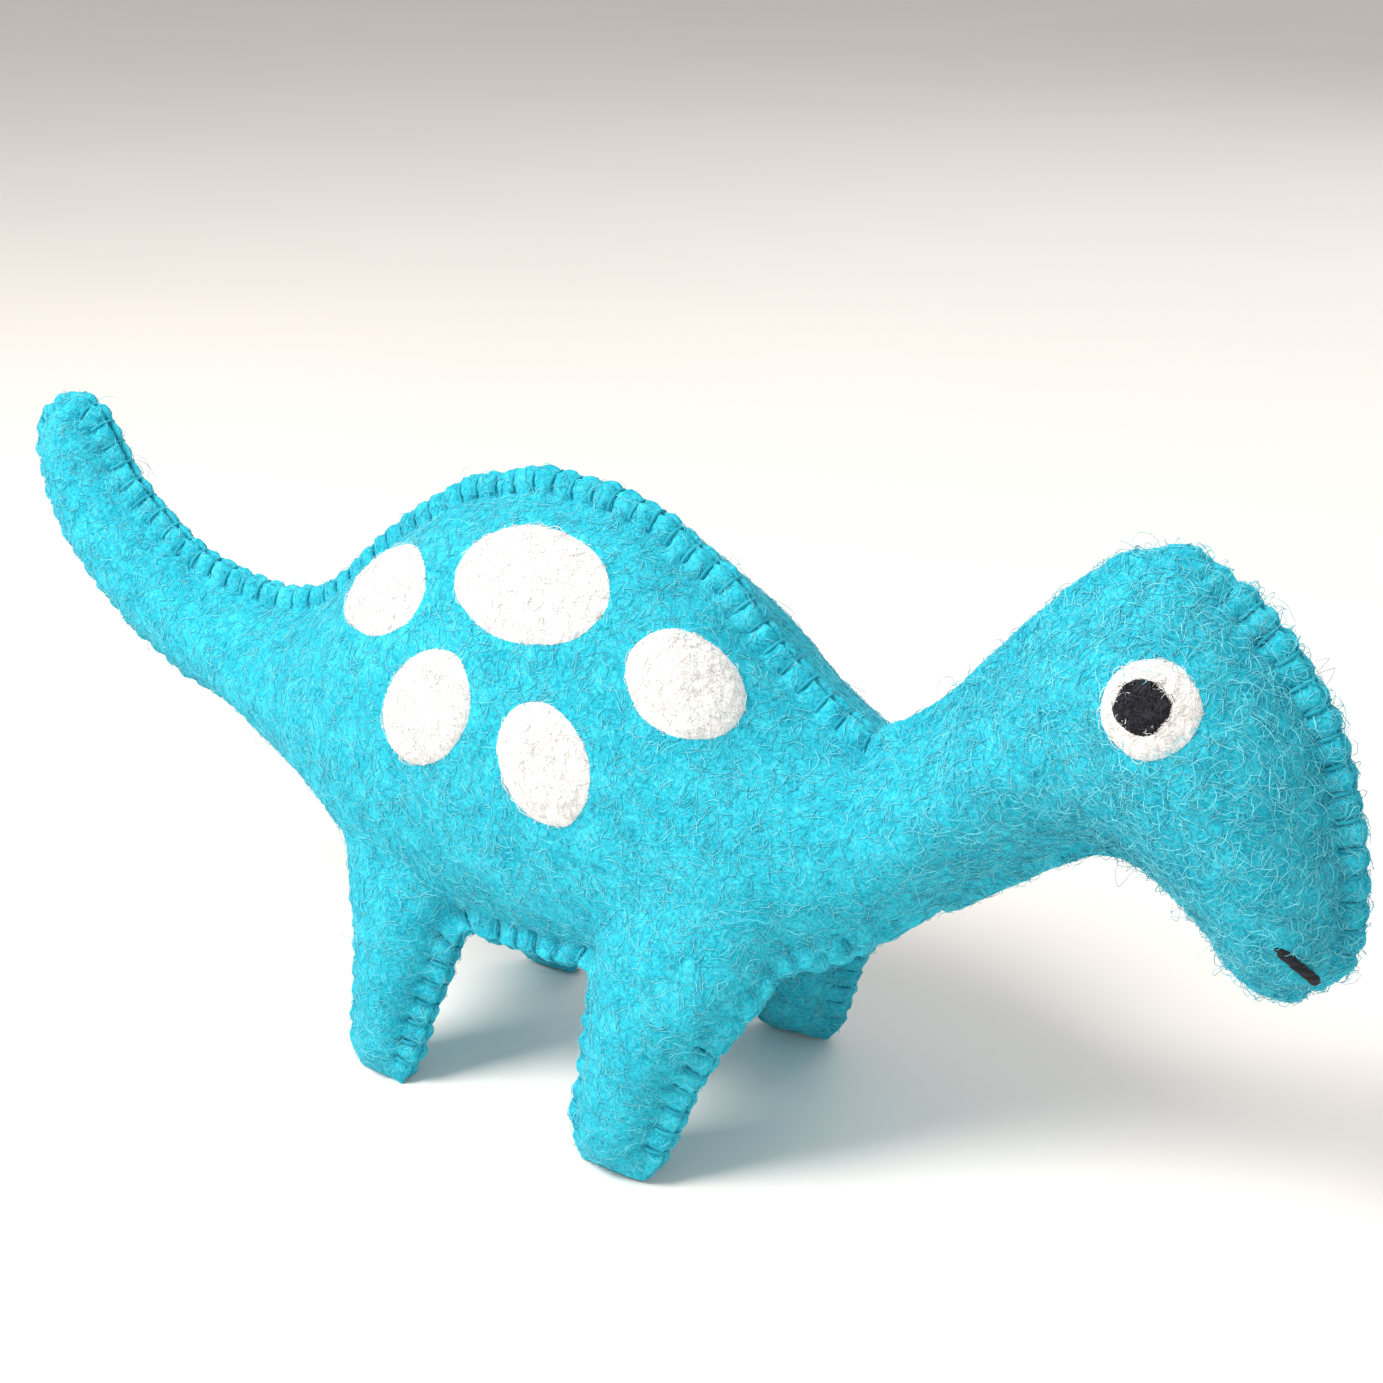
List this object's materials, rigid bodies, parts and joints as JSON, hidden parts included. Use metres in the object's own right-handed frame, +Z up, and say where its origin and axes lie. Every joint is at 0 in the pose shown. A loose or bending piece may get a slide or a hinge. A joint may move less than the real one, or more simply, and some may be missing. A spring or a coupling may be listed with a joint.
{
  "type": "stuffed dinosaur",
  "caption": "Firmly stuffed long-necked felt dinosaur standing on four short legs, with a raised tail, felted spots, round eyes and edges joined by whip stitches.",
  "frame": {"origin": "on the table plane, under the middle of the toy's bounding box", "axes": "+X from tail to snout, +Y to the toy's left, +Z up"},
  "size_m": [0.2204, 0.0558, 0.0939],
  "materials": {
    "turquoise_felt": "fuzzy wool felt",
    "wool_filling": "loose fibre",
    "white_felt": "needle-felted wool",
    "black_felt": "needle-felted wool",
    "black_yarn": "twisted wool yarn",
    "turquoise_thread": "twisted thread"
  },
  "bodies": {
    "root": {"side_panel_right": "turquoise_felt", "side_panel_left": "turquoise_felt", "underside_gusset": "turquoise_felt", "stuffing_tail": "wool_filling", "stuffing_body": "wool_filling", "stuffing_neck_and_head": "wool_filling", "stuffing_leg_front_right": "wool_filling", "stuffing_leg_front_left": "wool_filling", "stuffing_leg_rear_right": "wool_filling", "stuffing_leg_rear_left": "wool_filling", "spot_rump_right": "white_felt", "spot_hump_right": "white_felt", "spot_hip_right": "white_felt", "spot_flank_right": "white_felt", "spot_shoulder_right": "white_felt", "spot_rump_left": "white_felt", "spot_hump_left": "white_felt", "spot_hip_left": "white_felt", "spot_flank_left": "white_felt", "spot_shoulder_left": "white_felt", "eye_white_right": "white_felt", "eye_white_left": "white_felt", "pupil_right": "black_felt", "pupil_left": "black_felt", "mouth_yarn": "black_yarn", "thread_back_and_face": "turquoise_thread", "thread_throat": "turquoise_thread", "thread_under_tail": "turquoise_thread", "thread_underside_right": "turquoise_thread", "thread_underside_left": "turquoise_thread"}
  },
  "joints": []
}
